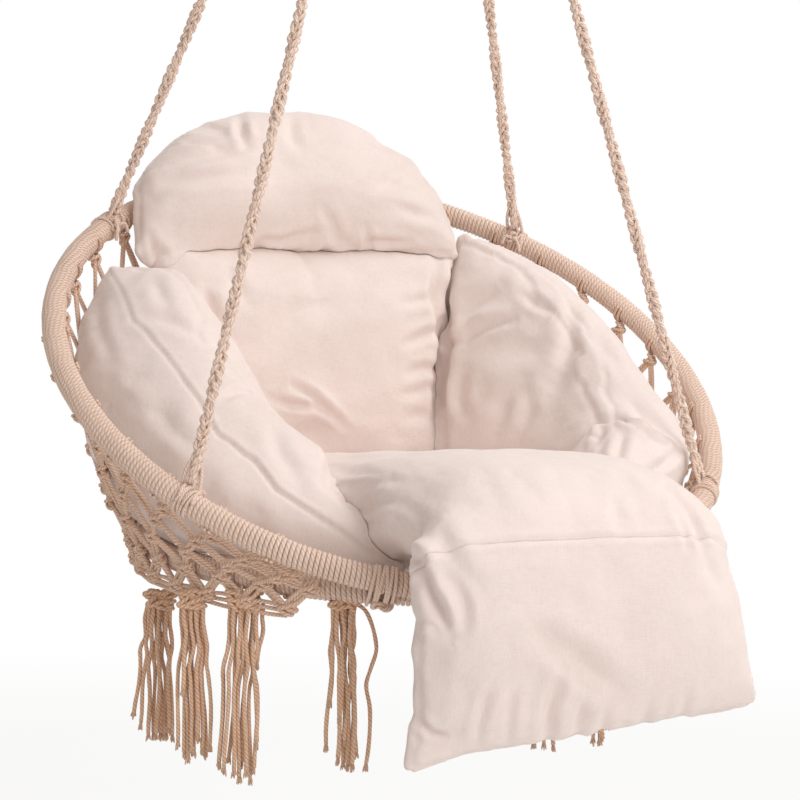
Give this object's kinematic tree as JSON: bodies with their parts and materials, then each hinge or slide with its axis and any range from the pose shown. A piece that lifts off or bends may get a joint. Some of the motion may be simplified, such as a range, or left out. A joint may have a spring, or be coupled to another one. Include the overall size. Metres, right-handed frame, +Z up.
{
  "type": "hammock chair",
  "caption": "Round hanging hammock chair: two cord-wound rings joined by a knotted net, braided ropes, fringe and loose linen cushions with a leg flap.",
  "frame": {"origin": "the point where the hanging ring's top bears on the hook that holds the chair", "axes": "+Z up along the hanging ropes, the chair faces -Y, +X is the sitter's left"},
  "size_m": [0.7968, 0.7994, 1.4521],
  "materials": {
    "steel": "satin",
    "ring_steel": "matte",
    "rope": "matte",
    "wrap": "matte",
    "net": "matte",
    "fringe": "matte",
    "linen": "matte"
  },
  "bodies": {
    "hanger": {"hanging_ring": "steel"},
    "chair": {"rope_left": "rope", "rope_right": "rope", "rope_lashing_front_left": "rope", "rope_lashing_back_left": "rope", "rope_lashing_front_right": "rope", "rope_lashing_back_right": "rope", "ring_lashing_left": "rope", "ring_lashing_right": "rope", "big_ring_tube": "ring_steel", "big_ring_wrap": "wrap", "small_ring_tube": "ring_steel", "small_ring_wrap": "wrap", "back_net": "net", "seat_net": "net", "tassel_1": "fringe", "tassel_2": "fringe", "tassel_3": "fringe", "tassel_4": "fringe", "tassel_5": "fringe", "tassel_6": "fringe", "tassel_7": "fringe", "tassel_8": "fringe", "tassel_9": "fringe", "tassel_10": "fringe", "seat_cushion": "linen", "back_cushion": "linen", "side_cushion_left": "linen", "side_cushion_right": "linen"},
    "flap": {"leg_flap": "linen"},
    "pillow": {"head_pillow": "linen"}
  },
  "joints": [
    {"name": "chair_swing", "type": "hinge", "parent": "hanger", "child": "chair", "pos_m": [0, 0, -0.06098], "axis": [1, 0, 0], "range_deg": [-20, 20]},
    {"name": "leg_flap_lift", "type": "hinge", "parent": "chair", "child": "flap", "pos_m": [0, -0.428, -1.157], "axis": [-1, 0, 0], "range_deg": [0, 60]},
    {"name": "head_pillow_fold", "type": "hinge", "parent": "chair", "child": "pillow", "pos_m": [0, 0.183, -0.896], "axis": [1, 0, 0], "range_deg": [0, 30]}
  ]
}
